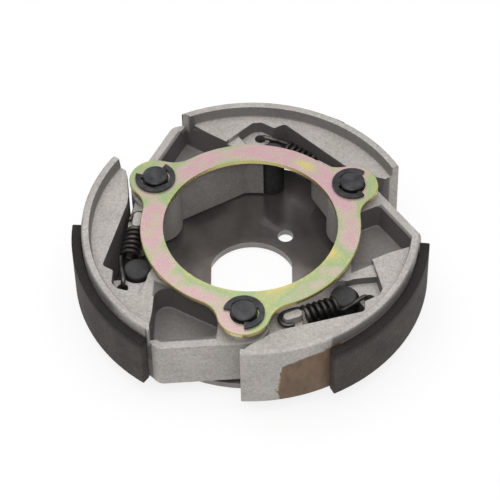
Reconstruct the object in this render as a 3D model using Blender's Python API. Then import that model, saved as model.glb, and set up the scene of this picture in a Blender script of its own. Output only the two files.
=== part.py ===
"""A centrifugal clutch for a scooter's belt drive: three sprung shoes on a dished plate.

The clutch turns about the z axis, and z = 0 is the underside of the plate's floor.
Each shoe is drawn once, for the pin at 270 degrees, and turned for the other two.
Lengths are in metres and angles in degrees.
"""

import math

import bmesh
import bpy
from mathutils import Matrix, Vector

# Clearance between pieces that seat on each other
GAP = 0.00025

# The shoes' outer radius, and the places that keep their share of it
SHOE_R = 0.053
PIVOT_R = 0.683 * SHOE_R
HUB_SIDE_R = 0.6264 * SHOE_R
HEEL_X = -0.532 * SHOE_R
DAMPER_AT_R = 0.7092 * SHOE_R
HOOK_AT_R = 0.8336 * SHOE_R
LUG_REACH = 0.2834 * SHOE_R

# Pivot pins, riveted through the plate
PIVOT_ANGLES = (270, 30, 150)
THIRD_TURN = 120
PIN_R = 0.004
SPIGOT_R = 0.00325
RIVET_R = 0.0049
RIVET_T = 0.0015
GROOVE_R = 0.0031
PIN_HEAD_T = 0.00065
PIN_BEVEL = 0.0003

# Drive plate
PLATE_R = 0.864 * SHOE_R
PLATE_T = 0.0023
DISH_DEPTH = 0.00235
DISH_INSIDE_RIVET = 0.0005
DISH_SLOPE_RUN = 0.003
DISH_EDGE_R = PIVOT_R - RIVET_R - DISH_INSIDE_RIVET
DISH_FLOOR_R = DISH_EDGE_R - DISH_SLOPE_RUN
HUB_HOLE_R = 0.014
HUB_FLAT_DEPTH = 0.001
HUB_TURN = 3
SIDE_HOLE_R = 0.0025
SIDE_HOLE_BEYOND = 0.0062
SIDE_HOLE_AT = 60

# Retainer ring and its clips
RING_INNER_R = 0.757 * PIVOT_R
RING_OUTER_R = 0.956 * PIVOT_R
RING_T = 0.0015
RING_BEVEL = 0.0002
LOBE_R = 0.0083
LOBE_BLEND_R = 0.0085
CLIP_T = 0.0008
CLIP_R = 0.0064
CLIP_RELIEF_R = 0.0047
CLIP_MOUTH = 52
CLIP_PRONG = 16
CLIP_STEP = 4
CLIP_TURNS = (-48, -29, -34)

# Shoe: rim and web
RIM_T = 0.0025
RIM_DRAFT = 0.0005
CAST_BEVEL = 0.0003
TOE_ANGLE = 149.7
TRIM_PAST = 4
WEB_BACK = 1
HEEL_PAST = 0.001
# The web's free edge from toe to heel: share of the shoe's outer radius, angle, share for its fillet
WEB_EDGE = (
    (0.9226, 148.9, 0),
    (0.8623, 152.7, 0.1509),
    (0.7736, 163.7, 0.1887),
    (0.9019, 199.6, 0.0226),
    (0.8547, 203.4, 0.0151),
    (0.8962, 208.9, 0.0283),
    (0.8887, 212.2, 0.0226),
    (0.7585, 223.7, 0.0113),
)

# Shoe: arm, pocket, pivot boss and spring lug
BOSS_R = 0.0072
BOSS_FOOT = 0.00055
ARM_R = 0.008
ARM_CORNER_X = 0.0026
ARM_CORNER_Y = -0.0025
ARM_ROOT_BACK = 3
ARM_HUB_TURN = 135.5
HUB_SIDE_FROM = 216.8
HUB_SIDE_TO = 205.5
# The arm's end face, then its tail inside the web: share of the shoe's outer radius, angle
ARM_TAIL = ((0.6717, 209.4), (0.7008, 212.6), (0.7481, 215.4), (0.8204, 218.7), (0.8396, 222.3))
OUTER_WALL_T = 0.0035
HUB_WALL_T = 0.0016
POCKET_DEPTH = 0.0088
POCKET_DRAFT = 0.0003
POCKET_FLOOR_BEVEL = 0.0006
POCKET_BOSS_WALL = 0.0079
POCKET_RIM_FILLET = 0.0005
POCKET_BOSS_FILLET = 0.002
POCKET_HUB_FILLET = 0.004
EAR_FOOT = 0.004
EAR_ROOT_R = 0.006
EAR_TIP_R = 0.0033
LUG_TURN = 11.9
LUG_SLANT = 206
LUG_HALF_LENGTH = 0.0031
LUG_HALF_WIDTH = 0.0015
LUG_HEIGHT = 0.0032

# Shoe: ledge with the spring's hole, hollowed round the damper
# The ledge's outline: share of the shoe's outer radius, angle
LEDGE_EDGE = (
    (0.6642, 209.6),
    (0.8744, 203.8),
    (0.9283, 208.4),
    (0.9264, 213.4),
    (0.8000, 225.0),
    (0.6943, 222.8),
)
NEST_R = 0.0049
DAMPER_AT = 202.7
HOOK_HOLE_R = 0.0018
HOOK_HOLE_DEPTH = 0.0055
HOOK_AT = 209.1

# Friction lining, bonded to the rim
LINING_T = 0.003
LINING_WIDTH = 0.0192
LINING_DROP = 0.0004
LINING_TOE = 179.8
LINING_HEEL = 237

# Damper rubbers and the stop pins that they stand on
RUBBER_R = 0.0041
RUBBER_BEVEL = 0.0004
STOP_PIN_R = 0.0016
STOP_PIN_LENGTH = 0.0125
STOP_RIVET_R = 0.0024
STOP_RIVET_T = 0.0008

# Return springs: wire, coil, hook leg and loop
WIRE_R = 0.00075
COIL_R = 0.00265
COIL_DROP = 0.0023
COIL_TURNS = 5.5
# Where the coil starts and stops, as shares of the way from the lug to the hook's hole
COIL_START = 0.145
COIL_STOP = 0.556
LEG_RISE = 0.0002
HOOK_BEND_R = 0.0014
HOOK_DEPTH = 0.004
LOOP_LIFT = 0.0004
LOOP_CLEARANCE = 0.0005
LOOP_SHIFT = 0.00025
LOOP_TAIL = -0.0004

# The casting's ledge, and how far its other tops rise over it
LEDGE_HEIGHT = 0.0142
EAR_RISE = 0.001
RUBBER_RISE = 0.0016
ARM_RISE = 0.0028
WEB_RISE = 0.0045
BOSS_RISE = 0.00575
RIM_RISE = 0.0085

# Heights, stacked up from the plate
LAND_TOP = DISH_DEPTH + PLATE_T
BOSS_BOTTOM = LAND_TOP + GAP
CAST_BOTTOM = BOSS_BOTTOM + BOSS_FOOT
LEDGE_TOP = CAST_BOTTOM + LEDGE_HEIGHT
RUBBER_TOP = LEDGE_TOP + RUBBER_RISE
EAR_BOTTOM = CAST_BOTTOM + EAR_FOOT
EAR_TOP = LEDGE_TOP + EAR_RISE
ARM_TOP = LEDGE_TOP + ARM_RISE
LUG_TOP = EAR_TOP + LUG_HEIGHT
WEB_TOP = LEDGE_TOP + WEB_RISE
BOSS_TOP = LEDGE_TOP + BOSS_RISE
RIM_TOP = LEDGE_TOP + RIM_RISE
POCKET_FLOOR = ARM_TOP - POCKET_DEPTH
RING_BOTTOM = BOSS_TOP + GAP
RING_TOP = RING_BOTTOM + RING_T
CLIP_BOTTOM = RING_TOP + GAP
CLIP_TOP = CLIP_BOTTOM + CLIP_T
PIN_TOP = CLIP_TOP + GAP + PIN_HEAD_T
LINING_BOTTOM = CAST_BOTTOM - LINING_DROP

# How finely round shapes are drawn
CIRCLE = 24
SMALL_CIRCLE = 16
PLATE_CIRCLE = 72
ARC_STEP = 15
RIM_STEPS = 28
LINING_STEPS = 20
COIL_STEPS = 12
HALF_TURN_STEPS = 8
BLEND_STEPS = 6
LOBE_STEPS = 14
PRONG_STEPS = 2
HUB_SIDE_STEPS = 4
HOOK_STEPS = 3
AXIS = Vector((0, 0))


def polar(radius, degrees, centre=AXIS):
    turn = math.radians(degrees)
    return centre + Vector((radius * math.cos(turn), radius * math.sin(turn)))


def arc(centre, radius, start, end, steps):
    return [polar(radius, start + (end - start) * i / steps, centre) for i in range(steps + 1)]


def angle_of(vector):
    return math.degrees(math.atan2(vector.y, vector.x))


def rounded(corners):
    """The outline through (corner, fillet radius) pairs, with each corner drawn as its arc."""
    outline = []
    for index, (corner, radius) in enumerate(corners):
        if not radius:
            outline.append(corner)
            continue
        back = (corners[index - 1][0] - corner).normalized()
        ahead = (corners[(index + 1) % len(corners)][0] - corner).normalized()
        half = back.angle(ahead) / 2
        centre = corner + (back + ahead).normalized() * radius / math.sin(half)
        reach = radius / math.tan(half)
        start = angle_of(corner + back * reach - centre)
        sweep = (angle_of(corner + ahead * reach - centre) - start + 180) % 360 - 180
        steps = max(1, round(abs(sweep) / ARC_STEP))
        outline += arc(centre, radius, start, start + sweep, steps)
    return outline


def through(table, whole):
    """The points of a table of (share of the whole radius, angle)."""
    return [polar(share * whole, angle) for share, angle in table]


def hull(first, first_r, second, second_r):
    """The outline of a belt round two circles."""
    span = second - first
    lean = math.degrees(math.acos((first_r - second_r) / span.length))
    along = angle_of(span)
    far = arc(second, second_r, along - lean, along + lean, CIRCLE // 3)
    near = arc(first, first_r, along + lean, along + 360 - lean, CIRCLE // 2)
    return far + near


def circle(centre, radius, steps=CIRCLE):
    return arc(centre, radius, 0, 360 - 360 / steps, steps - 1)


def carried(body, face, rise, inset):
    """The face moved up by a rise, drawing walls behind it, straight ones or leaning in."""
    if inset:
        face.normal_update()
        depth = rise if face.normal.z > 0 else -rise
        bmesh.ops.inset_region(body, faces=[face], thickness=inset, depth=depth, use_even_offset=True)
        return face
    attached = any(len(edge.link_faces) > 1 for edge in face.edges)
    grown = bmesh.ops.extrude_face_region(body, geom=[face])["geom"]
    head = next(item for item in grown if isinstance(item, bmesh.types.BMFace))
    bmesh.ops.translate(body, verts=head.verts, vec=(0, 0, rise))
    if attached:
        bmesh.ops.delete(body, geom=[face], context="FACES_ONLY")
    return head


def mesh_from(body, name):
    bmesh.ops.recalc_face_normals(body, faces=body.faces)
    mesh = bpy.data.meshes.new(name)
    body.to_mesh(mesh)
    body.free()
    return mesh


def prism(outline, bottom, top, top_bevel=0, bottom_bevel=0):
    """A solid with an upright wall on the outline, bevelled at its top or bottom edge."""
    body = bmesh.new()
    foot = body.faces.new([body.verts.new((p.x, p.y, bottom + bottom_bevel)) for p in outline])
    head = carried(body, foot, top - bottom - top_bevel - bottom_bevel, 0)
    if top_bevel:
        carried(body, head, top_bevel, top_bevel)
    if bottom_bevel:
        carried(body, foot, -bottom_bevel, bottom_bevel)
    return mesh_from(body, "prism")


def tapered(outline, top, bottom, draft, floor_bevel):
    """A cutter that narrows downwards from the outline, with a bevel round its floor."""
    body = bmesh.new()
    mouth = body.faces.new([body.verts.new((p.x, p.y, top)) for p in outline])
    floor = carried(body, mouth, -floor_bevel, 0)
    floor = carried(body, floor, bottom - top + 2 * floor_bevel, draft)
    carried(body, floor, -floor_bevel, floor_bevel)
    return mesh_from(body, "tapered")


def turned(profile, steps=CIRCLE):
    """A solid of revolution: a disc carried through the (radius, height) points."""
    body = bmesh.new()
    radius, height = profile[0]
    seat = Matrix.Translation((0, 0, height))
    bmesh.ops.create_circle(body, cap_ends=True, segments=steps, radius=radius, matrix=seat)
    body.faces.ensure_lookup_table()
    face = body.faces[0]
    for next_radius, next_height in profile[1:]:
        face = carried(body, face, next_height - height, 0)
        scale = next_radius / radius
        bmesh.ops.scale(body, verts=face.verts, vec=(scale, scale, 1))
        radius = next_radius
        height = next_height
    return mesh_from(body, "turned")


def spun(profile, start, end, steps):
    """A closed (radius, height) profile spun about the clutch's axis between two angles."""
    body = bmesh.new()
    corners = []
    for radius, height in profile:
        spot = polar(radius, start)
        corners.append(body.verts.new((spot.x, spot.y, height)))
    face = body.faces.new(corners)
    bmesh.ops.spin(
        body,
        geom=[face, *face.edges, *face.verts],
        axis=(0, 0, 1),
        angle=math.radians(end - start),
        steps=steps,
    )
    return mesh_from(body, "spun")


def combined(mesh, other, operation):
    """The mesh after a Boolean with the other."""
    pair = []
    for item in (mesh, other):
        body = bpy.data.objects.new("operand", item)
        bpy.context.scene.collection.objects.link(body)
        pair.append(body)
    modifier = pair[0].modifiers.new("Combine", "BOOLEAN")
    modifier.operation = operation
    modifier.solver = "EXACT"
    modifier.object = pair[1]
    graph = bpy.context.evaluated_depsgraph_get()
    result = bpy.data.meshes.new_from_object(pair[0].evaluated_get(graph))
    for body in pair:
        bpy.data.objects.remove(body)
    return result


def union(mesh, *others):
    for other in others:
        mesh = combined(mesh, other, "UNION")
    return mesh


def cut(mesh, *cutters):
    """The mesh with the cutters, which lie apart from each other, cut out of it."""
    body = bmesh.new()
    for cutter in cutters:
        body.from_mesh(cutter)
    return combined(mesh, mesh_from(body, "cutters"), "DIFFERENCE")


def moved(mesh, to=AXIS, turn=0):
    """The mesh after a turn about z and a move in the plane of the plate."""
    matrix = Matrix.Translation((to.x, to.y, 0)) @ Matrix.Rotation(math.radians(turn), 4, "Z")
    mesh.transform(matrix)
    return mesh


def material(name, colour, metallic, roughness):
    look = bpy.data.materials.new(name)
    look.use_nodes = True
    shader = look.node_tree.nodes["Principled BSDF"]
    shader.inputs["Base Color"].default_value = (*colour, 1)
    shader.inputs["Metallic"].default_value = metallic
    shader.inputs["Roughness"].default_value = roughness
    look.diffuse_color = (*colour, 1)
    return look


def place(name, mesh, look, at=AXIS, turn=0, smooth=30):
    """A named object of the mesh, at a point of the plate's plane and turned about z."""
    if look.name not in mesh.materials:
        mesh.materials.append(look)
    mesh.shade_smooth()
    mesh.set_sharp_from_angle(angle=math.radians(smooth))
    body = bpy.data.objects.new(name, mesh)
    body.location = (at.x, at.y, 0)
    body.rotation_euler = (0, 0, math.radians(turn))
    bpy.context.scene.collection.objects.link(body)
    return body


# Points of the shoe that is drawn, whose pin is at 270 degrees
PIVOT = polar(PIVOT_R, PIVOT_ANGLES[0])
DAMPER = polar(DAMPER_AT_R, DAMPER_AT)
HOOK = polar(HOOK_AT_R, HOOK_AT)
LUG = polar(LUG_REACH, LUG_TURN, PIVOT)


def plate_mesh():
    """The pressed disc: a sunk floor, a sloping step and the raised land round it."""
    disc = turned(
        (
            (DISH_FLOOR_R, 0),
            (DISH_EDGE_R, DISH_DEPTH),
            (PLATE_R, DISH_DEPTH),
            (PLATE_R, LAND_TOP),
            (DISH_EDGE_R, LAND_TOP),
            (DISH_FLOOR_R, PLATE_T),
        ),
        PLATE_CIRCLE,
    )
    below = -PLATE_T
    above = LAND_TOP + PLATE_T
    edge = math.degrees(math.acos(1 - HUB_FLAT_DEPTH / HUB_HOLE_R))
    hub = arc(AXIS, HUB_HOLE_R, edge, 180 - edge, CIRCLE)
    hub += arc(AXIS, HUB_HOLE_R, 180 + edge, 360 - edge, CIRCLE)
    hub_cutter = moved(prism(hub, below, above), turn=HUB_TURN)
    side = circle(polar(HUB_HOLE_R + SIDE_HOLE_BEYOND, SIDE_HOLE_AT), SIDE_HOLE_R)
    cutters = [hub_cutter, prism(side, below, above)]
    for angle in PIVOT_ANGLES:
        turn = angle - PIVOT_ANGLES[0]
        cutters.append(moved(prism(circle(PIVOT, SPIGOT_R + GAP), below, above), turn=turn))
        cutters.append(moved(prism(circle(DAMPER, STOP_PIN_R + GAP, SMALL_CIRCLE), below, above), turn=turn))
    return cut(disc, *cutters)


def pin_mesh():
    head_bottom = DISH_DEPTH - GAP - RIVET_T
    groove_bottom = CLIP_BOTTOM - GAP
    groove_top = CLIP_TOP + GAP
    return turned(
        (
            (RIVET_R - RIVET_T / 2, head_bottom),
            (RIVET_R, head_bottom + RIVET_T / 2),
            (RIVET_R, DISH_DEPTH - GAP),
            (SPIGOT_R, DISH_DEPTH - GAP),
            (SPIGOT_R, BOSS_BOTTOM),
            (PIN_R, BOSS_BOTTOM),
            (PIN_R, groove_bottom),
            (GROOVE_R, groove_bottom),
            (GROOVE_R, groove_top),
            (PIN_R, groove_top),
            (PIN_R, PIN_TOP - PIN_BEVEL),
            (PIN_R - PIN_BEVEL, PIN_TOP),
        )
    )


def ring_mesh():
    """The flat ring with three lobes, each led into the ring by blends on both sides."""
    apart = RING_OUTER_R + LOBE_BLEND_R
    beside = LOBE_R + LOBE_BLEND_R
    lean = math.degrees(math.acos((apart**2 + PIVOT_R**2 - beside**2) / (2 * apart * PIVOT_R)))
    outline = []
    for angle in sorted(PIVOT_ANGLES):
        pivot = polar(PIVOT_R, angle)
        before = polar(apart, angle - lean)
        after = polar(apart, angle + lean)
        turn_in = angle_of(before - pivot)
        turn_out = angle_of(after - pivot)
        lobe_sweep = (turn_out - turn_in) % 360
        blend_sweep = (turn_in - angle + lean + 180) % 360 - 180
        start = angle - lean + 180
        outline += arc(before, LOBE_BLEND_R, start, start + blend_sweep, BLEND_STEPS)
        outline += arc(pivot, LOBE_R, turn_in, turn_in + lobe_sweep, LOBE_STEPS)[1:-1]
        start = turn_out + 180
        outline += arc(after, LOBE_BLEND_R, start, start + blend_sweep, BLEND_STEPS)
        free = THIRD_TURN - 2 * lean
        outline += arc(AXIS, RING_OUTER_R, angle + lean, angle + lean + free, LOBE_STEPS)[1:-1]
    blank = prism(outline, RING_BOTTOM, RING_TOP, RING_BEVEL, RING_BEVEL)
    below = RING_BOTTOM - RING_T
    above = RING_TOP + RING_T
    cutters = [prism(circle(AXIS, RING_INNER_R, PLATE_CIRCLE), below, above)]
    for angle in PIVOT_ANGLES:
        cutters.append(prism(circle(polar(PIVOT_R, angle), PIN_R + GAP), below, above))
    return cut(blank, *cutters)


def clip_mesh():
    """A three-pronged clip that opens along +x, with reliefs between its prongs."""
    grip = GROOVE_R + GAP
    outer = arc(AXIS, CLIP_R, CLIP_MOUTH, 360 - CLIP_MOUTH, CIRCLE)
    upper = CLIP_MOUTH + CLIP_PRONG
    middle = 180 - CLIP_PRONG
    inner = arc(AXIS, grip, CLIP_MOUTH, upper, PRONG_STEPS)
    inner += arc(AXIS, CLIP_RELIEF_R, upper + CLIP_STEP, middle - CLIP_STEP, BLEND_STEPS)
    inner += arc(AXIS, grip, middle, 360 - middle, 2 * PRONG_STEPS)
    inner += arc(AXIS, CLIP_RELIEF_R, 360 - middle + CLIP_STEP, 360 - upper - CLIP_STEP, BLEND_STEPS)
    inner += arc(AXIS, grip, 360 - upper, 360 - CLIP_MOUTH, PRONG_STEPS)
    return prism(outer + inner[::-1], CLIP_BOTTOM, CLIP_TOP)


def stop_pin_mesh():
    rivet_bottom = DISH_DEPTH - GAP - STOP_RIVET_T
    shaft_top = LAND_TOP + STOP_PIN_LENGTH
    return turned(
        (
            (STOP_RIVET_R - STOP_RIVET_T / 2, rivet_bottom),
            (STOP_RIVET_R, rivet_bottom + STOP_RIVET_T / 2),
            (STOP_RIVET_R, DISH_DEPTH - GAP),
            (STOP_PIN_R, DISH_DEPTH - GAP),
            (STOP_PIN_R, shaft_top - PIN_BEVEL),
            (STOP_PIN_R - PIN_BEVEL, shaft_top),
        ),
        SMALL_CIRCLE,
    )


def heel_angle(radius):
    """The angle at which a circle of this radius meets the heel's flat face."""
    return 180 + math.degrees(math.acos(-HEEL_X / radius))


def rim_and_web():
    """The curved rim and the solid web inside it, trimmed square at toe and heel."""
    inner_r = SHOE_R - RIM_T
    root_r = inner_r - RIM_DRAFT
    profile = (
        (root_r, CAST_BOTTOM),
        (SHOE_R, CAST_BOTTOM),
        (SHOE_R, RIM_TOP - CAST_BEVEL),
        (SHOE_R - CAST_BEVEL, RIM_TOP),
        (inner_r + CAST_BEVEL, RIM_TOP),
        (inner_r, RIM_TOP - CAST_BEVEL),
        (root_r, WEB_TOP),
    )
    rim = spun(profile, TOE_ANGLE - TRIM_PAST, heel_angle(inner_r) + TRIM_PAST, RIM_STEPS)
    edge = [(polar(share * SHOE_R, angle), fillet * SHOE_R) for share, angle, fillet in WEB_EDGE]
    toe = (polar(edge[0][0].length, TOE_ANGLE - TRIM_PAST), 0)
    heel = (Vector((HEEL_X + HEEL_PAST, edge[-1][0].y)), 0)
    middle_r = SHOE_R - RIM_T / 2
    back = arc(AXIS, middle_r, heel_angle(middle_r) - WEB_BACK, TOE_ANGLE - TRIM_PAST, RIM_STEPS)
    web = prism(rounded([toe, *edge, heel]) + back, CAST_BOTTOM, WEB_TOP, CAST_BEVEL)
    clear_of = 2 * SHOE_R
    bounds = [
        polar(RING_INNER_R, TOE_ANGLE),
        polar(clear_of, TOE_ANGLE),
        Vector((-clear_of, -clear_of)),
        Vector((HEEL_X, -clear_of)),
        Vector((HEEL_X, 0)),
    ]
    keep = prism(bounds, -RIM_TOP, 2 * RIM_TOP)
    return combined(union(rim, web), keep, "INTERSECT")


def tangent_turn(point, centre, radius):
    """The angle at which a line from the point touches the circle, with the circle on its left."""
    span = point - centre
    return angle_of(span) + math.degrees(math.acos(radius / span.length))


def arm_corner():
    """The arm's outer corner, just past the heel and outside the shoe's circle."""
    return polar(SHOE_R, heel_angle(SHOE_R)) + Vector((ARM_CORNER_X, ARM_CORNER_Y))


def arm_outline():
    corner = arm_corner()
    middle_r = SHOE_R - RIM_T / 2
    root = polar(middle_r, heel_angle(middle_r) - ARM_ROOT_BACK)
    boss = arc(PIVOT, ARM_R, tangent_turn(corner, PIVOT, ARM_R), ARM_HUB_TURN, SMALL_CIRCLE)
    hub_side = arc(AXIS, HUB_SIDE_R, HUB_SIDE_FROM, HUB_SIDE_TO, HUB_SIDE_STEPS)
    tail = through(ARM_TAIL, SHOE_R)
    return [root, polar(SHOE_R, heel_angle(SHOE_R)), corner, *boss, *hub_side, *tail]


def line_meet(first, first_way, second, second_way):
    """Where two lines meet, each given by a point and a direction."""
    cross = first_way.cross(second_way)
    return first + first_way * ((second - first).cross(second_way) / cross)


def pocket_mesh():
    """The open pocket between the arm's two walls, the heel and the pivot boss."""
    corner = arm_corner()
    touch = polar(ARM_R, tangent_turn(corner, PIVOT, ARM_R), PIVOT)
    outer_way = (touch - corner).normalized()
    outer = corner + Vector((-outer_way.y, outer_way.x)) * OUTER_WALL_T
    hub_start = polar(ARM_R, ARM_HUB_TURN, PIVOT)
    hub_way = (polar(HUB_SIDE_R, HUB_SIDE_FROM) - hub_start).normalized()
    hub = hub_start + Vector((-hub_way.y, hub_way.x)) * HUB_WALL_T
    upright = Vector((0, 1))
    heel = Vector((HEEL_X - POCKET_DRAFT, 0))
    boss = Vector((-POCKET_BOSS_WALL, 0))
    corners = [
        (line_meet(outer, outer_way, heel, upright), POCKET_RIM_FILLET),
        (line_meet(outer, outer_way, boss, upright), POCKET_BOSS_FILLET),
        (line_meet(hub, hub_way, boss, upright), POCKET_BOSS_FILLET),
        (line_meet(hub, hub_way, heel, upright), POCKET_HUB_FILLET),
    ]
    return tapered(rounded(corners), RIM_TOP, POCKET_FLOOR, POCKET_DRAFT, POCKET_FLOOR_BEVEL)


def shoe_mesh():
    """The die cast shoe, drawn about the clutch's axis."""
    arm = prism(arm_outline(), CAST_BOTTOM, ARM_TOP, CAST_BEVEL)
    ledge = prism(through(LEDGE_EDGE, SHOE_R), CAST_BOTTOM, LEDGE_TOP)
    hollow = cut(union(arm, ledge), pocket_mesh())
    boss = prism(circle(PIVOT, BOSS_R), BOSS_BOTTOM, BOSS_TOP, CAST_BEVEL)
    ear = prism(hull(PIVOT, EAR_ROOT_R, LUG, EAR_TIP_R), EAR_BOTTOM, EAR_TOP, CAST_BEVEL)
    slant = polar(LUG_HALF_LENGTH - LUG_HALF_WIDTH, LUG_SLANT)
    lug_outline = hull(LUG - slant, LUG_HALF_WIDTH, LUG + slant, LUG_HALF_WIDTH)
    lug = prism(lug_outline, EAR_BOTTOM + EAR_FOOT, LUG_TOP, CAST_BEVEL)
    casting = union(rim_and_web(), hollow, boss, ear, lug)
    bore = prism(circle(PIVOT, PIN_R + GAP), -PLATE_T, PIN_TOP)
    nest = prism(circle(DAMPER, NEST_R, 2 * CIRCLE), -PLATE_T, PIN_TOP)
    hook_hole = prism(circle(HOOK, HOOK_HOLE_R, SMALL_CIRCLE), LEDGE_TOP - HOOK_HOLE_DEPTH, PIN_TOP)
    return cut(cut(casting, nest), bore, hook_hole)


def lining_mesh():
    inner_r = SHOE_R + GAP
    outer_r = inner_r + LINING_T
    top = LINING_BOTTOM + LINING_WIDTH
    bevel = CAST_BEVEL
    profile = (
        (inner_r, LINING_BOTTOM),
        (outer_r - bevel, LINING_BOTTOM),
        (outer_r, LINING_BOTTOM + bevel),
        (outer_r, top - bevel),
        (outer_r - bevel, top),
        (inner_r, top),
    )
    return spun(profile, LINING_TOE, LINING_HEEL, LINING_STEPS)


def rubber_mesh():
    """The damper's sleeve, closed on top and bored from below for its stop pin."""
    foot = LAND_TOP + GAP
    sleeve = turned(
        (
            (RUBBER_R - RUBBER_BEVEL, foot),
            (RUBBER_R, foot + RUBBER_BEVEL),
            (RUBBER_R, RUBBER_TOP - RUBBER_BEVEL),
            (RUBBER_R - RUBBER_BEVEL, RUBBER_TOP),
        )
    )
    bore_top = LAND_TOP + STOP_PIN_LENGTH + 2 * GAP
    return cut(sleeve, prism(circle(AXIS, STOP_PIN_R + GAP, SMALL_CIRCLE), -PLATE_T, bore_top))


def spring_points():
    """The wire's middle line: a tail and loop round the lug, the coil, a leg and a hook."""
    lug = Matrix.Rotation(math.radians(-THIRD_TURN), 2) @ LUG
    span = HOOK - lug
    along = span.normalized()
    outward = Vector((along.y, -along.x))
    coil_z = LUG_TOP - COIL_DROP
    loop_z = coil_z + LOOP_LIFT
    leg_z = coil_z + LEG_RISE

    def at(reach, side, height):
        spot = lug + along * reach + outward * side
        return Vector((spot.x, spot.y, height))

    loop_r = LUG_HALF_WIDTH + LOOP_CLEARANCE + WIRE_R
    bend = loop_r - WIRE_R - LUG_HALF_LENGTH - GAP
    points = [at(LOOP_TAIL, loop_r - LOOP_SHIFT, loop_z)]
    for i in range(HALF_TURN_STEPS + 1):
        turn = math.pi * i / HALF_TURN_STEPS
        points.append(at(bend - loop_r * math.sin(turn), loop_r * math.cos(turn) - LOOP_SHIFT, loop_z))
    coil_start = COIL_START * span.length
    coil_stop = COIL_STOP * span.length
    points.append(at(coil_start / 2, -loop_r - LOOP_SHIFT, loop_z))
    steps = round(COIL_TURNS * COIL_STEPS)
    for i in range(steps + 1):
        turn = math.pi + 2 * math.pi * i / COIL_STEPS
        reach = coil_start + (coil_stop - coil_start) * i / steps
        points.append(at(reach, COIL_R * math.cos(turn), coil_z - COIL_R * math.sin(turn)))
    hook_reach = span.length - (HOOK_HOLE_R - WIRE_R - GAP)
    beside = DAMPER - lug
    leg_side = beside.dot(outward) + RUBBER_R + GAP + WIRE_R
    points.append(at(beside.dot(along), leg_side, coil_z))
    for i in range(HOOK_STEPS + 1):
        turn = math.pi / 2 * i / HOOK_STEPS
        reach = hook_reach - HOOK_BEND_R + HOOK_BEND_R * math.sin(turn)
        points.append(at(reach, 0, leg_z - HOOK_BEND_R + HOOK_BEND_R * math.cos(turn)))
    points.append(at(hook_reach, 0, LEDGE_TOP - HOOK_DEPTH))
    return points


def spring_curve(look):
    """A round wire along the spring's middle line."""
    curve = bpy.data.curves.new("spring", "CURVE")
    curve.dimensions = "3D"
    curve.bevel_depth = WIRE_R
    curve.bevel_resolution = 2
    curve.use_fill_caps = True
    points = spring_points()
    line = curve.splines.new("POLY")
    line.points.add(len(points) - 1)
    for knot, point in zip(line.points, points):
        knot.co = (*point, 1)
    curve.materials.append(look)
    return curve


def clear_scene():
    for body in list(bpy.data.objects):
        bpy.data.objects.remove(body)


def main():
    clear_scene()
    steel = material("plate steel", (0.06, 0.06, 0.06), 0.8, 0.5)
    pin_steel = material("pin steel", (0.05, 0.05, 0.05), 0.9, 0.4)
    zinc = material("yellow zinc", (0.42, 0.40, 0.29), 0.9, 0.3)
    clip_steel = material("clip steel", (0.03, 0.03, 0.03), 0.8, 0.4)
    cast = material("cast aluminium", (0.40, 0.38, 0.34), 0.7, 0.5)
    friction = material("friction lining", (0.10, 0.09, 0.08), 0.0, 0.9)
    rubber = material("damper rubber", (0.03, 0.03, 0.03), 0.0, 0.7)
    wire = material("spring steel", (0.05, 0.05, 0.05), 0.9, 0.4)

    place("drive_plate", plate_mesh(), steel)
    place("retainer_ring", ring_mesh(), zinc)
    pin = pin_mesh()
    clip = clip_mesh()
    stop = stop_pin_mesh()
    to_pivot = -PIVOT
    shoe = moved(shoe_mesh(), to_pivot)
    lining = moved(lining_mesh(), to_pivot)
    sleeve = rubber_mesh()
    coil = spring_curve(wire)
    coil.transform(Matrix.Translation((to_pivot.x, to_pivot.y, 0)))
    for number, angle in enumerate(PIVOT_ANGLES, 1):
        turn = angle - PIVOT_ANGLES[0]
        pivot = polar(PIVOT_R, angle)
        damper = polar(DAMPER_AT_R, DAMPER_AT + turn)
        place(f"pivot_pin_{number}", pin, pin_steel, pivot)
        place(f"e_clip_{number}", clip, clip_steel, pivot, angle + CLIP_TURNS[number - 1])
        place(f"stop_pin_{number}", stop, pin_steel, damper)
        place(f"shoe_{number}", shoe, cast, pivot, turn)
        place(f"lining_{number}", lining, friction, pivot, turn)
        place(f"damper_rubber_{number}", sleeve, rubber, damper, turn)
        spring = bpy.data.objects.new(f"return_spring_{number}", coil)
        spring.location = (pivot.x, pivot.y, 0)
        spring.rotation_euler = (0, 0, math.radians(turn))
        bpy.context.scene.collection.objects.link(spring)


main()
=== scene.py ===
"""Looks for the centrifugal clutch: cast shoes, friction linings, a zinc plated ring and steel parts."""

import functools
import math

import bpy
from mathutils import Matrix, Vector


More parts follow.
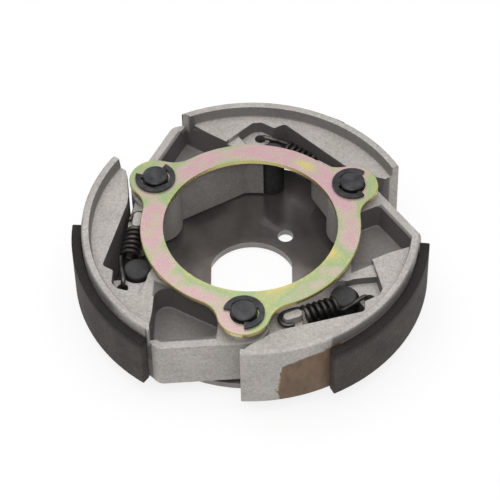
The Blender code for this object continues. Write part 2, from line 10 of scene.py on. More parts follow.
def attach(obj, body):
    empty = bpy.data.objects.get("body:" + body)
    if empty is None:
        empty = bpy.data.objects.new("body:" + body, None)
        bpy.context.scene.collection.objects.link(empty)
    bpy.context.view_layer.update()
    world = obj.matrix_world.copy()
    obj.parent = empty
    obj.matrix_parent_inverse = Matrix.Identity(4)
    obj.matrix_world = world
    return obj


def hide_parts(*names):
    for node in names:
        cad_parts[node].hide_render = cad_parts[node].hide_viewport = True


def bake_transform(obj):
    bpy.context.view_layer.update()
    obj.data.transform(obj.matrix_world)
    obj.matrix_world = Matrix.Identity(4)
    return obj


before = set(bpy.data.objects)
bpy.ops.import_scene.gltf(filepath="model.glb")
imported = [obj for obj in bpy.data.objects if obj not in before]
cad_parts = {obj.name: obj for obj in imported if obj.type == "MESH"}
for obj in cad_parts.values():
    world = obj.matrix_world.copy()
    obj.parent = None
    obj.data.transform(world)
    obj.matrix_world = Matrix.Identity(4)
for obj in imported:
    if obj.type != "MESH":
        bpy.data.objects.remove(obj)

bl_info = {
    "name": "Centrifugal Clutch",
    "version": (1, 0, 0),
    "blender": (4, 5, 0),
    "location": "View3D > Sidebar > Clutch",
    "description": "Dresses the clutch's solids with edges, finishes and a studio",
    "category": "Object",
}

# The camera that matches the photograph: turn, height and roll in degrees, and metres
CAMERA_AZIMUTH = 4.16
CAMERA_ELEVATION = 48.93
CAMERA_ROLL = 1.33
CAMERA_DISTANCE = 0.7
CAMERA_ASIDE = -0.00013
CAMERA_ABOVE = -0.00808
CAMERA_LENS = 161.1
SENSOR = 36
TARGET_Z = 0.02715

# Where the shoes turn
PIVOT_ANGLES = (270, 30, 150)
PIVOT_R = 0.0362

# The shoes' outer radius, the rim's inner wall, and the walls round the hub with the recess behind them
SHOE_R = 0.053
RIM_INSIDE = 0.0505
HUB_SIDE = 0.0345
RECESS_SIDE = 0.0355

# How far towards the arm the first shoe's recess reaches, and how far the painted shade on its rim's crest
# does
RECESS_END = -0.0275
CREST_END = -0.038

# Heights over the plate's underside
POCKET_FLOOR = 0.01365
WEB_TOP = 0.02415
LINING_TOP = 0.02425
RIM_TOP = 0.02815

# The outer corner of the first shoe's arm
ARM_CORNER = (-0.0256, -0.04737)

# The ring's middle line, half its width, and the radius of its lobes
RING_MIDDLE = 0.0310
RING_HALF = 0.0036
LOBE_R = 0.0083

# The ends of the first shoe's spring: the lug that it hangs on and its hole in the ledge
SPRING_START = (-0.0360, 0.0038, 0.0215)
SPRING_END = (-0.0386, -0.0215, 0.0215)

# What smoothing takes off the spring wire's radius
WIRE_GAIN = 0.00006

# The walls round the pocket of the first shoe: the direction into it, and how far along it the wall lies
POCKET_SIDES = ((0, -0.0294), (180, 0.0074), (96.9, -0.0419), (242.8, 0.0306))
POCKET_LIP = 0.0006

# The glue stain on the first shoe's rim: the lining's toe, the stain's far end and its top edge
STAIN_TOE = 0.0166
STAIN_END = -0.0040
STAIN_TOP = 0.0251
STAIN_SLOPE = 0.21
STAIN_WANDER = 0.012

# How a solid's mesh is cleaned before its edges are eased: metres, then degrees
MERGE_WITHIN = 0.00001
FLAT_WITHIN = 0.4
SHARPER_THAN = 50


def colour(name, description, default):
    return bpy.props.FloatVectorProperty(
        name=name, description=description, default=default, subtype="COLOR", size=3, min=0, max=1
    )


def length(name, description, default):
    return bpy.props.FloatProperty(
        name=name, description=description, default=default, unit="LENGTH", precision=5
    )


def strength(name, description, default, unit="NONE"):
    return bpy.props.FloatProperty(name=name, description=description, default=default, min=0, unit=unit)


class ClutchEdges(bpy.types.PropertyGroup):
    cast: length("Casting edge", "Easing of the castings' sharp edges", 0.0002)
    rim: length("Rim edge", "Rounding of the rim's outer top edge", 0.0005)
    corner: length("Arm corner", "Rounding of the arm's outer corner", 0.0014)
    plate: length("Plate edge", "Easing of the plate's blanked edges", 0.0003)
    ring: length("Ring edge", "Easing of the ring's edges", 0.00012)
    clip: length("Clip edge", "Easing of the clips' edges", 0.00012)
    pin: length("Pin edge", "Easing of the pins' edges", 0.00012)
    lining: length("Lining edge", "Easing of the linings' edges", 0.0002)
    rubber: length("Rubber edge", "Easing of the damper sleeves' edges", 0.0002)


class ClutchColours(bpy.types.PropertyGroup):
    cast: colour("Casting", "Raw cast aluminium", (0.47, 0.44, 0.415))
    cast_dark: colour("Casting stain", "Darker areas of the castings' skin", (0.375, 0.348, 0.325))
    # The recess colour is painted shade, laid on the castings' recess walls, the pocket's floor and the rim's
    # outer top edge.
    painted_shade: colour("Recess", "Dull skin of the castings' recesses", (0.095, 0.088, 0.086))
    glue: colour("Glue", "Bonding glue beside the linings", (0.165, 0.100, 0.056))
    lining: colour("Lining", "Friction compound", (0.050, 0.042, 0.038))
    lining_fleck: colour("Lining fleck", "Pale fibres in the friction compound", (0.10, 0.08, 0.07))
    plate: colour("Plate", "Blackened plate steel", (0.172, 0.157, 0.150))
    zinc: colour("Zinc", "Zinc plating", (0.55, 0.45, 0.37))
    zinc_pink: colour("Zinc pink", "Pink tint of the passivated zinc", (0.62, 0.38, 0.42))
    zinc_yellow: colour("Zinc yellow", "Yellow tint of the passivated zinc", (0.66, 0.55, 0.20))
    zinc_green: colour("Zinc green", "Green tint of the passivated zinc", (0.36, 0.46, 0.23))
    steel: colour("Steel", "Blackened pins", (0.05, 0.05, 0.052))
    clip: colour("Clip", "Spring steel clips", (0.04, 0.04, 0.042))
    wire: colour("Wire", "Oiled spring wire", (0.07, 0.065, 0.06))
    rubber: colour("Rubber", "Damper rubber", (0.02, 0.02, 0.02))


class ClutchStudio(bpy.types.PropertyGroup):
    sky: strength("Sky", "Strength of the even light all round", 0.39)
    key: strength("Key", "Main softbox in watts", 9.6, "POWER")
    front: strength("Front", "Small front lamp in watts", 0.8, "POWER")
    floor: colour("Floor", "The plain floor", (0.9, 0.9, 0.9))


# Nodes of the materials


def add(look, kind, inputs=None, **settings):
    """A node in a material, with its settings and its inputs given as values or as links."""
    node = look.node_tree.nodes.new(kind)
    for key, value in settings.items():
        setattr(node, key, value)
    for key, value in (inputs or {}).items():
        if isinstance(value, bpy.types.NodeSocket):
            look.node_tree.links.new(value, node.inputs[key])
        else:
            node.inputs[key].default_value = value
    return node


def finish(name, roughness, metallic, **sockets):
    """A material whose shader has this roughness, metallic value and other constants."""
    look = bpy.data.materials.new(name)
    look.use_nodes = True
    shader = look.node_tree.nodes["Principled BSDF"]
    shader.inputs["Roughness"].default_value = roughness
    shader.inputs["Metallic"].default_value = metallic
    for key, value in sockets.items():
        shader.inputs[key.replace("_", " ")].default_value = value
    return look


def shader_of(look):
    return look.node_tree.nodes["Principled BSDF"]


def feed(look, socket, source):
    """Link a pattern to a socket of the material's shader."""
    look.node_tree.links.new(source, shader_of(look).inputs[socket])


def place_of(look, turn=0, stretch=(1, 1, 1), shift=(0, 0, 0)):
    """The point on the piece, turned, stretched and shifted for a pattern."""
    spot = add(look, "ShaderNodeTexCoord").outputs["Object"]
    inputs = {"Vector": spot, "Rotation": (0, 0, math.radians(turn)), "Scale": stretch, "Location": shift}
    return add(look, "ShaderNodeMapping", inputs).outputs["Vector"]


def noise(look, spot, size, detail=3, roughness=0.5, distortion=0):
    """A cloudy pattern whose patches have about this size in metres."""
    inputs = {
        "Vector": spot,
        "Scale": 1 / size,
        "Detail": detail,
        "Roughness": roughness,
        "Distortion": distortion,
    }
    return add(look, "ShaderNodeTexNoise", inputs).outputs["Fac"]


def ramp(look, source, *stops):
    """A colour ramp through (position, colour) stops."""
    node = add(look, "ShaderNodeValToRGB", {"Fac": source})
    elements = node.color_ramp.elements
    while len(elements) < len(stops):
        elements.new(0.5)
    for element, (position, tint) in zip(elements, stops):
        element.position = position
        element.color = (*tint, 1)
    return node.outputs["Color"]


def window(look, source, low, high):
    """0 below the low value and 1 above the high one."""
    inputs = {"Value": source, "From Min": low, "From Max": high}
    return add(look, "ShaderNodeMapRange", inputs).outputs["Result"]


def spread(look, source, low, high):
    """A share from 0 to 1 laid out between two values."""
    return add(look, "ShaderNodeMapRange", {"Value": source, "To Min": low, "To Max": high}).outputs["Result"]


def math_node(look, operation, first, second=0.0):
    return add(look, "ShaderNodeMath", {0: first, 1: second}, operation=operation).outputs[0]


def mixed(look, share, first, second):
    """A colour between two, each given as a colour or a link."""
    ends = [tint if isinstance(tint, bpy.types.NodeSocket) else (*tint, 1) for tint in (first, second)]
    return add(look, "ShaderNodeMix", {0: share, 6: ends[0], 7: ends[1]}, data_type="RGBA").outputs[2]


def toned(look, tint, level):
    """A colour made lighter or darker by a level round 1."""
    return add(look, "ShaderNodeHueSaturation", {"Color": tint, "Value": level}).outputs["Color"]


def between(look, source, low, high, soft):
    """1 between two values, fading out past them."""
    rise = window(look, source, low - soft, low)
    return math_node(look, "MULTIPLY", rise, window(look, source, high + soft, high))


def flat_radius(look, spot):
    """The distance from the turning axis, and the three axes."""
    axes = add(look, "ShaderNodeSeparateXYZ", {"Vector": spot}).outputs
    flat = add(look, "ShaderNodeCombineXYZ", {"X": axes["X"], "Y": axes["Y"]}).outputs["Vector"]
    return add(look, "ShaderNodeVectorMath", {0: flat}, operation="LENGTH").outputs["Value"], axes


def upright_of(look):
    """How far the surface faces up: 1 on tops, 0 on walls."""
    facing = add(look, "ShaderNodeTexCoord").outputs["Normal"]
    return add(look, "ShaderNodeSeparateXYZ", {"Vector": facing}).outputs["Z"]


def bump(look, height, distance, strength=1.0, under=None):
    """The normal of a pattern in relief, on top of another relief where one is given."""
    inputs = {"Height": height, "Distance": distance, "Strength": strength}
    if under:
        inputs["Normal"] = under
    return add(look, "ShaderNodeBump", inputs).outputs["Normal"]


def product(look, *shares):
    """The product of several shares."""
    total = shares[0]
    for share in shares[1:]:
        total = math_node(look, "MULTIPLY", total, share)
    return total


def strongest(look, *shares):
    """The largest of several shares."""
    total = shares[0]
    for share in shares[1:]:
        total = math_node(look, "MAXIMUM", total, share)
    return total


def beyond(look, spot, direction, reach, soft=0.0002):
    """1 past a line that lies at a reach along a direction in the plate's plane."""
    way = (math.cos(math.radians(direction)), math.sin(math.radians(direction)), 0)
    along = add(look, "ShaderNodeVectorMath", {0: spot, 1: way}, operation="DOT_PRODUCT").outputs["Value"]
    return window(look, along, reach - soft, reach + soft)


# Materials


def painted_recess_shade(look, spot):
    """Painted shade on the castings' recess walls, as a share, and the same with painted shade on the
    pocket's floor.
    """
    radius, axes = flat_radius(look, spot)
    height = axes["Z"]
    wall = window(look, math_node(look, "ABSOLUTE", upright_of(look)), 0.85, 0.45)
    inside = window(look, radius, RIM_INSIDE - 0.0004, RIM_INSIDE - 0.0010)
    over_web = window(look, height, WEB_TOP, WEB_TOP + 0.0006)

    deep = [beyond(look, spot, direction, reach + POCKET_LIP) for direction, reach in POCKET_SIDES]
    deep = product(look, *deep)
    end_height = window(look, height, WEB_TOP - 0.0040, WEB_TOP - 0.0030)
    end_radius = window(look, radius, RIM_INSIDE + 0.0002, RIM_INSIDE + 0.0008)
    rim_end = product(look, deep, end_height, end_radius)
    pocket = [beyond(look, spot, direction, reach) for direction, reach in POCKET_SIDES]
    pocket = product(look, math_node(look, "SUBTRACT", 1, rim_end), *pocket)
    pocket_wall = product(look, pocket, window(look, height, POCKET_FLOOR, POCKET_FLOOR + 0.0006), 0.9)
    step = between(look, height, POCKET_FLOOR + 0.0015, WEB_TOP - 0.0012, 0.0006)
    pocket_step = product(look, deep, pocket_wall, step)

    recess_start = window(look, axes["Y"], RECESS_END, RECESS_END + 0.0010)
    recess = product(look, inside, recess_start, window(look, radius, HUB_SIDE, RECESS_SIDE), 0.9)
    hub = product(look, window(look, radius, RECESS_SIDE, HUB_SIDE), 0.25)
    rim_wall = between(look, radius, RIM_INSIDE - 0.0006, RIM_INSIDE + 0.0002, 0.0002)
    rim_wall = product(look, rim_wall, 0.68, over_web)
    walls = product(look, strongest(look, pocket_wall, recess, hub, rim_wall), wall)
    shade = strongest(look, walls, pocket_step)

    on_floor = window(look, height, POCKET_FLOOR + 0.0009, POCKET_FLOOR + 0.0003)
    return shade, strongest(look, shade, product(look, on_floor, pocket, 0.62))


def crest_shade(look, spot):
    """Painted shade along the outer edge of the rim's top, from the middle of the shoe to its arm."""
    radius, axes = flat_radius(look, spot)
    return product(
        look,
        window(look, radius, SHOE_R - 0.0006, SHOE_R - 0.0001),
        window(look, axes["Z"], WEB_TOP, WEB_TOP + 0.0006),
        window(look, axes["Y"], 0, -0.001),
        window(look, axes["Y"], CREST_END, CREST_END + 0.004),
        0.75,
    )


def glue_stain(look, spot, loose):
    """The ragged stain on the rim's bare outside, beside the lining's toe."""
    radius, axes = flat_radius(look, spot)
    ragged = noise(look, loose, 0.007, 5, 0.55)
    wander = math_node(look, "MULTIPLY", math_node(look, "SUBTRACT", ragged, 0.5), STAIN_WANDER)
    along = math_node(look, "ADD", axes["Y"], wander)
    upward = math_node(look, "ADD", axes["Z"], math_node(look, "MULTIPLY", wander, 0.5))
    upward = math_node(look, "ADD", upward, math_node(look, "MULTIPLY", axes["Y"], STAIN_SLOPE))
    return product(
        look,
        window(look, radius, SHOE_R - 0.0004, SHOE_R - 0.0003),
        window(look, along, STAIN_TOE, STAIN_TOE - 0.0006),
        window(look, axes["Y"], STAIN_END, STAIN_END + 0.0010),
        window(look, axes["X"], 0, -0.001),
        window(look, upward, STAIN_TOP, STAIN_TOP - 0.0006),
    )


def cast_finish(name, colours, turn, seed):
    """Raw cast aluminium: sandy skin, painted shade on the recess walls and along the rim's outer top edge,
    and a glue stain on the bare rim by the lining.
    """
    look = finish(name, 0.6, 0.35)
    spot = place_of(look, -turn)
    loose = place_of(look, -turn, shift=(seed, seed / 2, 0))
    clouds = noise(look, loose, 0.014, 4, 0.6)
    speckle = noise(look, loose, 0.0009, 3, 0.8)
    grain = noise(look, loose, 0.0005, 4, 0.7)
    pits = noise(look, loose, 0.0016, 3, 0.6)
    skin = mixed(look, window(look, clouds, 0.40, 0.75), colours.cast, colours.cast_dark)
    skin = mixed(look, product(look, window(look, pits, 0.60, 0.75), 0.8), skin, colours.cast_dark)
    skin = toned(look, skin, spread(look, window(look, speckle, 0.36, 0.64), 0.80, 1.12))

    shade, dark = painted_recess_shade(look, spot)
    # Painted shade darkens the recess walls, the hub walls, the rim's inner wall and the pocket's floor.
    skin = mixed(look, dark, skin, colours.painted_shade)
    # Painted shade darkens the rim's rounded outer top edge.
    skin = mixed(look, crest_shade(look, spot), skin, colours.painted_shade)
    stain = glue_stain(look, spot, loose)
    streaks = noise(look, place_of(look, -turn, (1, 1, 0.4), (seed, 0, 0)), 0.0022, 4, 0.6)
    brown = toned(look, (*colours.glue, 1), spread(look, window(look, streaks, 0.3, 0.7), 1.1, 0.65))
    feed(look, "Base Color", mixed(look, stain, skin, brown))
    feed(look, "Metallic", spread(look, strongest(look, stain, shade), 0.35, 0.0))
    feed(look, "Roughness", spread(look, clouds, 0.52, 0.68))
    feed(look, "Normal", bump(look, grain, 0.00012, 0.9, bump(look, pits, 0.0002, 0.6)))
    return look


def lining_finish(name, colours, turn, seed):
    """Moulded friction compound with faint fibres, darker along its top edge."""
    look = finish(name, 0.8, 0.0, Specular_IOR_Level=0.35)
    spot = place_of(look, -turn, shift=(seed, 0, 0))
    clouds = noise(look, spot, 0.009, 4, 0.6)
    fibre = noise(look, place_of(look, -turn, (1, 1, 3), (seed, 0, 0)), 0.0011, 3, 0.7)
    grain = noise(look, spot, 0.0009, 3, 0.8)
    height = add(look, "ShaderNodeSeparateXYZ", {"Vector": spot}).outputs["Z"]
    compound = toned(look, (*colours.lining, 1), spread(look, window(look, clouds, 0.35, 0.7), 1.25, 0.75))
    flecks = product(look, window(look, fibre, 0.60, 0.78), 0.6)
    compound = mixed(look, flecks, compound, colours.lining_fleck)
    compound = toned(look, compound, spread(look, window(look, grain, 0.36, 0.64), 0.75, 1.25))
    top = window(look, height, LINING_TOP - 0.0035, LINING_TOP - 0.0004)
    feed(look, "Base Color", toned(look, compound, spread(look, top, 1.1, 0.30)))
    feed(look, "Normal", bump(look, grain, 0.0001, 0.9, bump(look, fibre, 0.00012, 0.5)))
    return look


def plate_finish(name, colours):
    """Blackened pressed steel with worn patches and fine scratches."""
    look = finish(name, 0.32, 0.75)
    spot = place_of(look)
    clouds = noise(look, spot, 0.009, 4, 0.6)
    scratches = noise(look, place_of(look, 25, (1, 12, 1)), 0.004, 3, 0.6)
    grain = noise(look, spot, 0.0004, 3, 0.6)
    worn = tuple(1.5 * c for c in colours.plate)
    tint = mixed(look, window(look, clouds, 0.35, 0.7), colours.plate, worn)
    tint = mixed(look, math_node(look, "MULTIPLY", window(look, scratches, 0.6, 0.75), 0.4), tint, worn)
    feed(look, "Base Color", tint)
    feed(look, "Roughness", spread(look, clouds, 0.16, 0.30))
    feed(look, "Normal", bump(look, grain, 0.00003, 0.6, bump(look, scratches, 0.00003, 0.4)))
    return look


def zinc_finish(name, colours):
    """Passivated zinc whose thin film turns from pink in the middle through green to yellow at the edges."""
    look = finish(name, 0.26, 0.4)
    spot = place_of(look)
    radius, axes = flat_radius(look, spot)
    flat = add(look, "ShaderNodeCombineXYZ", {"X": axes["X"], "Y": axes["Y"]}).outputs["Vector"]
    middle = math_node(look, "ABSOLUTE", math_node(look, "SUBTRACT", radius, RING_MIDDLE))
    edge = math_node(look, "DIVIDE", middle, RING_HALF)
    for angle in PIVOT_ANGLES:
        pin = (PIVOT_R * math.cos(math.radians(angle)), PIVOT_R * math.sin(math.radians(angle)), 0)
        apart = add(look, "ShaderNodeVectorMath", {0: flat, 1: pin}, operation="DISTANCE").outputs["Value"]
        edge = math_node(look, "MINIMUM", edge, math_node(look, "DIVIDE", apart, LOBE_R))
    film = noise(look, place_of(look, 20, (1, 1, 0.2), (0.013, 0.004, 0)), 0.020, 2, 0.45, 0.6)
    smudge = noise(look, spot, 0.003, 4, 0.65)
    grain = noise(look, spot, 0.0005, 3, 0.6)
    ahead = {0: flat, 1: (0.5, -0.87, 0)}
    toward = add(look, "ShaderNodeVectorMath", ahead, operation="DOT_PRODUCT").outputs["Value"]
    inner = window(look, radius, RING_MIDDLE + RING_HALF - 0.0001, RING_MIDDLE - 0.0005)
    greened = product(look, window(look, toward, -0.012, 0.018), inner, 0.16)
    drift = math_node(look, "MULTIPLY", math_node(look, "POWER", edge, 2.5), 0.22)
    drift = math_node(look, "ADD", drift, greened)
    for cloud, amount in ((film, 1.6), (smudge, 0.34)):
        sway = math_node(look, "MULTIPLY", math_node(look, "SUBTRACT", cloud, 0.5), amount)
        drift = math_node(look, "ADD", drift, sway)
    drift = math_node(look, "ADD", drift, 0.32)
    tint = ramp(
        look,
        drift,
        (0.04, colours.zinc_yellow),
        (0.16, colours.zinc),
        (0.32, colours.zinc_pink),
        (0.48, colours.zinc),
        (0.64, colours.zinc_green),
        (1.0, colours.zinc_yellow),
    )
    # The ring's side faces take the film's yellow and more metal: partly the zinc's real edge colour, partly
    # a painted golden highlight.
    side = window(look, math_node(look, "ABSOLUTE", upright_of(look)), 0.97, 0.7)
    feed(look, "Base Color", mixed(look, product(look, side, 0.8), tint, colours.zinc_yellow))
    feed(look, "Metallic", spread(look, side, 0.35, 0.75))
    feed(look, "Roughness", spread(look, smudge, 0.18, 0.36))
    feed(look, "Normal", bump(look, grain, 0.00004, 0.5))
    return look


def steel_finish(name, tint, roughness):
    """Oiled dark steel with a clouded gloss."""
    look = finish(name, roughness, 0.85)
    spot = place_of(look)
    clouds = noise(look, spot, 0.003, 4, 0.6)
    grain = noise(look, spot, 0.0004, 3, 0.6)
    worn = tuple(1.9 * c for c in tint)
    feed(look, "Base Color", mixed(look, window(look, clouds, 0.35, 0.7), tint, worn))
    feed(look, "Roughness", spread(look, clouds, roughness * 0.8, roughness * 1.3))
    feed(look, "Normal", bump(look, grain, 0.00003, 0.6))
    return look


def rubber_finish(name, tint):
    """Matt rubber with a faint grey bloom."""
    look = finish(name, 0.62, 0.0)
    spot = place_of(look)
    bloom = noise(look, spot, 0.002, 4, 0.6)
    grain = noise(look, spot, 0.0004, 3, 0.6)
    bloomed = tuple(2.2 * c for c in tint)
    feed(look, "Base Color", mixed(look, window(look, bloom, 0.4, 0.75), tint, bloomed))
    feed(look, "Normal", bump(look, grain, 0.00005, 0.7))
    return look


# Pieces


def select_only(piece):
    """Make the piece the one selected and active object."""
    if bpy.context.mode != "OBJECT":
        bpy.ops.object.mode_set(mode="OBJECT")
    bpy.ops.object.select_all(action="DESELECT")
    piece.select_set(True)
    bpy.context.view_layer.objects.active = piece


def dressed(node, name, look, edge, shaped=None, smooth=40):
    """A copy of a solid, merged, with its sharp edges eased and its normals weighted by area."""
    piece = bpy.data.objects.new(name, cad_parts[node].data.copy())
    bpy.context.scene.collection.objects.link(piece)
    select_only(piece)
    piece.data.materials.clear()
    piece.data.materials.append(look)
    bpy.ops.mesh.customdata_custom_splitnormals_clear()
    bpy.ops.object.mode_set(mode="EDIT")
    bpy.ops.mesh.select_all(action="SELECT")
    bpy.ops.mesh.remove_doubles(threshold=MERGE_WITHIN)
    bpy.ops.mesh.dissolve_limited(angle_limit=math.radians(FLAT_WITHIN))
    bpy.ops.object.mode_set(mode="OBJECT")
    if shaped:
        shaped(piece)
    if edge:
        bpy.ops.object.modifier_add(type="BEVEL")
        easing = piece.modifiers[-1]
        easing.limit_method = "ANGLE"
        easing.angle_limit = math.radians(SHARPER_THAN)
        easing.width = edge
        easing.segments = 2
        easing.use_clamp_overlap = True
        easing.miter_outer = "MITER_ARC"
        bpy.ops.object.modifier_apply(modifier=easing.name)
    bpy.ops.object.shade_smooth_by_angle(angle=math.radians(smooth))
    bpy.ops.object.modifier_add(type="WEIGHTED_NORMAL")
    weighted = piece.modifiers[-1]
    weighted.keep_sharp = True
    bpy.ops.object.modifier_apply(modifier=weighted.name)
    return piece


def choose(piece, wanted):
    """Select in edit mode the vertices whose place passes a test."""
    bpy.ops.object.mode_set(mode="EDIT")
    bpy.ops.mesh.select_mode(type="VERT")
    bpy.ops.mesh.select_all(action="DESELECT")
    bpy.ops.object.mode_set(mode="OBJECT")
    for vertex in piece.data.vertices:
        vertex.select = wanted(vertex.co)
    bpy.ops.object.mode_set(mode="EDIT")


def soften_casting(piece, turn):
    """Round the rim's outer top edge and the arm's outer corner beyond the solid's chamfers."""
    edges = bpy.context.scene.clutch_edges
    reach = edges.rim
    near = 0.00005
    chamfer = 0.0003

    def at(place, radius, height):
        return abs(place.z - height) < near and abs(place.xy.length - radius) < near

    choose(piece, lambda place: at(place, SHOE_R - chamfer, RIM_TOP))
    share = (SHOE_R - reach) / (SHOE_R - chamfer)
    bpy.ops.transform.resize(value=(share, share, 1), center_override=(0, 0, 0))
    choose(piece, lambda place: at(place, SHOE_R, RIM_TOP - chamfer))
    bpy.ops.transform.translate(value=(0, 0, chamfer - reach))
    widened = ((SHOE_R - reach, RIM_TOP), (SHOE_R, RIM_TOP - reach))
    choose(piece, lambda place: any(at(place, *corner) for corner in widened))
    bpy.ops.mesh.bevel(offset=reach / 2, segments=3, affect="EDGES")

    corner = Matrix.Rotation(math.radians(turn), 2) @ Vector(ARM_CORNER)
    choose(piece, lambda place: (place.xy - corner).length < 2 * chamfer)
    bpy.ops.mesh.bevel(offset=edges.corner, segments=4, affect="EDGES")
    bpy.ops.object.mode_set(mode="OBJECT")


def wind_half(piece, middle, tip):
    """Smooth the spring's wire, keeping its thickness, and keep the half on the tip's side of its middle."""
    bpy.ops.object.modifier_add(type="SUBSURF")
    smooth = piece.modifiers[-1]
    smooth.levels = 2
    smooth.render_levels = 2
    bpy.ops.object.modifier_apply(modifier=smooth.name)
    bpy.ops.object.mode_set(mode="EDIT")
    bpy.ops.mesh.select_all(action="SELECT")
    bpy.ops.transform.shrink_fatten(value=WIRE_GAIN)
    bpy.ops.mesh.bisect(plane_co=middle, plane_no=middle - tip, use_fill=True, clear_outer=True)
    bpy.ops.mesh.mark_sharp()
    bpy.ops.object.mode_set(mode="OBJECT")


def settle(piece, body, node):
    """Put the piece on its body in the place of its solid, and hide the solid."""
    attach(piece, body)
    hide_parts(node)


class ClutchOperator:
    bl_options = {"REGISTER", "UNDO"}


class CLUTCH_OT_drive_plate(ClutchOperator, bpy.types.Operator):
    """Dress the pressed drive plate"""

    bl_idname = "clutch.drive_plate"
    bl_label = "Drive Plate"

    def execute(self, context):
        look = plate_finish("Blackened plate", context.scene.clutch_colours)
        piece = dressed("drive_plate", "plate_pressing", look, context.scene.clutch_edges.plate)
        settle(piece, "carrier", "drive_plate")
        return {"FINISHED"}


class CLUTCH_OT_pins(ClutchOperator, bpy.types.Operator):
    """Dress the pivot pins and the stop pins"""

    bl_idname = "clutch.pins"
    bl_label = "Pins"

    def execute(self, context):
        look = steel_finish("Pin steel", context.scene.clutch_colours.steel, 0.34)
        for number in (1, 2, 3):
            for kind in ("pivot_pin", "stop_pin"):
                node = f"{kind}_{number}"
                piece = dressed(node, f"{kind}_turned_{number}", look, context.scene.clutch_edges.pin)
                settle(piece, "carrier", node)
        return {"FINISHED"}


class CLUTCH_OT_ring(ClutchOperator, bpy.types.Operator):
    """Dress the zinc plated retainer ring"""

    bl_idname = "clutch.ring"
    bl_label = "Retainer Ring"

    def execute(self, context):
        look = zinc_finish("Passivated zinc", context.scene.clutch_colours)
        piece = dressed("retainer_ring", "ring_blank", look, context.scene.clutch_edges.ring)
        settle(piece, "carrier", "retainer_ring")
        return {"FINISHED"}


class CLUTCH_OT_clips(ClutchOperator, bpy.types.Operator):
    """Dress the three clips on the pivot pins"""

    bl_idname = "clutch.clips"
    bl_label = "Clips"

    def execute(self, context):
        look = steel_finish("Clip steel", context.scene.clutch_colours.clip, 0.36)
        for number in (1, 2, 3):
            node = f"e_clip_{number}"
            piece = dressed(node, f"clip_stamped_{number}", look, context.scene.clutch_edges.clip)
            settle(piece, "carrier", node)
        return {"FINISHED"}


class CLUTCH_OT_shoes(ClutchOperator, bpy.types.Operator):
    """Dress the three cast shoes"""

    bl_idname = "clutch.shoes"
    bl_label = "Shoes"

    def execute(self, context):
        colours = context.scene.clutch_colours
        for number, angle in enumerate(PIVOT_ANGLES, 1):
            turn = angle - PIVOT_ANGLES[0]
            look = cast_finish(f"Cast aluminium {number}", colours, turn, 0.031 * number)
            node = f"shoe_{number}"
            edge = context.scene.clutch_edges.cast
            soften = functools.partial(soften_casting, turn=turn)
            piece = dressed(node, f"shoe_casting_{number}", look, edge, soften, smooth=52)
            settle(piece, f"shoe_body_{number}", node)
        return {"FINISHED"}


class CLUTCH_OT_linings(ClutchOperator, bpy.types.Operator):
    """Dress the three friction linings"""

    bl_idname = "clutch.linings"
    bl_label = "Linings"

    def execute(self, context):
        colours = context.scene.clutch_colours
        for number, angle in enumerate(PIVOT_ANGLES, 1):
            turn = angle - PIVOT_ANGLES[0]
            look = lining_finish(f"Friction compound {number}", colours, turn, 0.017 * number)
            node = f"lining_{number}"
            piece = dressed(node, f"lining_moulded_{number}", look, context.scene.clutch_edges.lining)
            settle(piece, f"shoe_body_{number}", node)
        return {"FINISHED"}


class CLUTCH_OT_dampers(ClutchOperator, bpy.types.Operator):
    """Dress the three rubber damper sleeves"""

    bl_idname = "clutch.dampers"
    bl_label = "Dampers"

    def execute(self, context):
        look = rubber_finish("Damper rubber", context.scene.clutch_colours.rubber)
        for number in (1, 2, 3):
            node = f"damper_rubber_{number}"
            piece = dressed(node, f"damper_sleeve_{number}", look, context.scene.clutch_edges.rubber)
            settle(piece, "carrier", node)
        return {"FINISHED"}


class CLUTCH_OT_springs(ClutchOperator, bpy.types.Operator):
    """Dress the three return springs, each in two halves, one at each end, where it hangs on a shoe."""

    bl_idname = "clutch.springs"
    bl_label = "Return Springs"

    def execute(self, context):
        look = steel_finish("Spring wire", context.scene.clutch_colours.wire, 0.36)
        for number, angle in enumerate(PIVOT_ANGLES, 1):
            node = f"return_spring_{number}"
            turn = Matrix.Rotation(math.radians(angle - PIVOT_ANGLES[0]), 3, "Z")
            start = turn @ Vector(SPRING_START)
            end = turn @ Vector(SPRING_END)
            middle = (start + end) / 2
            neighbour = (number + 1) % 3 + 1
            for name, shoe, tip in (("loop", neighbour, start), ("hook", number, end)):
                half = functools.partial(wind_half, middle=middle, tip=tip)
                piece = dressed(node, f"spring_{name}_{number}", look, 0, half, smooth=80)
                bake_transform(piece)
                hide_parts(node)
        return {"FINISHED"}


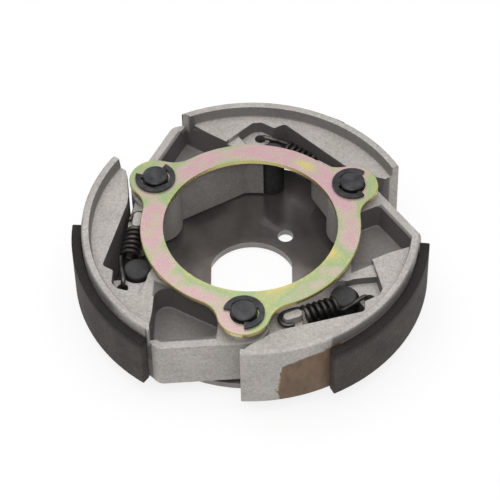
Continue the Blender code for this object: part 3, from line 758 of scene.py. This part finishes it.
class CLUTCH_OT_studio(ClutchOperator, bpy.types.Operator):
    """Set the camera, the floor and the soft light"""

    bl_idname = "clutch.studio"
    bl_label = "Studio"

    def execute(self, context):
        studio = context.scene.clutch_studio
        self.camera(context)
        self.floor(studio)
        self.sky(context, studio)
        self.softbox("Key softbox", studio.key, (-0.05, 0.0, 0.9), 1.3)
        self.softbox("Front lamp", studio.front, (0.03, -0.5, 0.72), 0.1)
        context.scene.view_settings.view_transform = "Standard"
        return {"FINISHED"}

    def camera(self, context):
        azimuth = math.radians(CAMERA_AZIMUTH)
        elevation = math.radians(CAMERA_ELEVATION)
        back = Vector(
            (
                math.sin(azimuth) * math.cos(elevation),
                -math.cos(azimuth) * math.cos(elevation),
                math.sin(elevation),
            )
        )
        aside = Vector((math.cos(azimuth), math.sin(azimuth), 0))
        roll = Matrix.Rotation(-math.radians(CAMERA_ROLL), 3, back)
        right = roll @ aside
        upward = roll @ back.cross(aside)
        bpy.ops.object.camera_add()
        camera = context.object
        camera.name = "Studio camera"
        camera.data.sensor_width = SENSOR
        camera.data.lens = CAMERA_LENS
        spot = Vector((0, 0, TARGET_Z)) + right * CAMERA_ASIDE + upward * CAMERA_ABOVE
        spot += back * CAMERA_DISTANCE
        turn = Matrix((right, upward, back)).transposed().to_4x4()
        camera.matrix_world = Matrix.Translation(spot) @ turn
        context.scene.camera = camera

    def floor(self, studio):
        bpy.ops.object.select_all(action="DESELECT")
        bpy.ops.mesh.primitive_plane_add(size=3, location=(0, 0, -0.0003))
        floor = bpy.context.object
        floor.name = "Studio floor"
        bpy.ops.object.transform_apply(location=True)
        look = finish("Studio paper", 0.9, 0.0)
        shader_of(look).inputs["Base Color"].default_value = (*studio.floor, 1)
        nodes = look.node_tree.nodes
        seen = add(look, "ShaderNodeLightPath").outputs
        rays = ("Is Camera Ray", "Is Glossy Ray", "Is Transmission Ray")
        direct = strongest(look, *(seen[ray] for ray in rays))
        glow = add(look, "ShaderNodeEmission", {"Color": (1, 1, 1, 1), "Strength": 1.0}).outputs["Emission"]
        share = math_node(look, "MULTIPLY", direct, 0.82)
        blend = add(look, "ShaderNodeMixShader", {0: share, 1: shader_of(look).outputs[0], 2: glow})
        look.node_tree.links.new(blend.outputs[0], nodes["Material Output"].inputs["Surface"])
        floor.data.materials.append(look)

    def sky(self, context, studio):
        world = bpy.data.worlds.new("Studio sky")
        context.scene.world = world
        world.use_nodes = True
        nodes = world.node_tree.nodes
        even = nodes["Background"]
        even.inputs["Color"].default_value = (1, 1, 1, 1)
        even.inputs["Strength"].default_value = studio.sky
        white = add(world, "ShaderNodeBackground", {"Color": (1, 1, 1, 1)}).outputs[0]
        seen = add(world, "ShaderNodeLightPath").outputs["Is Camera Ray"]
        blend = add(world, "ShaderNodeMixShader", {0: seen, 1: even.outputs[0], 2: white})
        world.node_tree.links.new(blend.outputs[0], nodes["World Output"].inputs["Surface"])

    def softbox(self, name, power, spot, size):
        bpy.ops.object.light_add(type="AREA", location=spot)
        lamp = bpy.context.object
        lamp.name = name
        lamp.data.energy = power
        lamp.data.size = size
        aim = Vector((0, 0, 0.01)) - Vector(spot)
        lamp.rotation_euler = aim.to_track_quat("-Z", "Y").to_euler()


OPERATORS = (
    CLUTCH_OT_drive_plate,
    CLUTCH_OT_pins,
    CLUTCH_OT_ring,
    CLUTCH_OT_clips,
    CLUTCH_OT_shoes,
    CLUTCH_OT_linings,
    CLUTCH_OT_dampers,
    CLUTCH_OT_springs,
    CLUTCH_OT_studio,
)


class CLUTCH_PT_panel(bpy.types.Panel):
    bl_idname = "CLUTCH_PT_panel"
    bl_label = "Centrifugal Clutch"
    bl_space_type = "VIEW_3D"
    bl_region_type = "UI"
    bl_category = "Clutch"

    def draw(self, context):
        for kind in OPERATORS:
            self.layout.operator(kind.bl_idname)
        for group in (context.scene.clutch_edges, context.scene.clutch_colours, context.scene.clutch_studio):
            box = self.layout.box()
            for key in type(group).__annotations__:
                box.prop(group, key)


CLASSES = (ClutchEdges, ClutchColours, ClutchStudio, *OPERATORS, CLUTCH_PT_panel)
GROUPS = {"clutch_edges": ClutchEdges, "clutch_colours": ClutchColours, "clutch_studio": ClutchStudio}


def register():
    for kind in CLASSES:
        bpy.utils.register_class(kind)
    for key, group in GROUPS.items():
        setattr(bpy.types.Scene, key, bpy.props.PointerProperty(type=group))


def unregister():
    for key in GROUPS:
        delattr(bpy.types.Scene, key)
    for kind in reversed(CLASSES):
        bpy.utils.unregister_class(kind)


def clear_startup():
    """Remove the objects of Blender's startup file."""
    for name in ("Cube", "Light", "Camera"):
        body = bpy.data.objects.get(name)
        if body:
            bpy.data.objects.remove(body)


def main():
    clear_startup()
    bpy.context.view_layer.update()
    register()
    for kind in OPERATORS:
        group, name = kind.bl_idname.split(".")
        getattr(getattr(bpy.ops, group), name)()


if __name__ == "__main__":
    main()
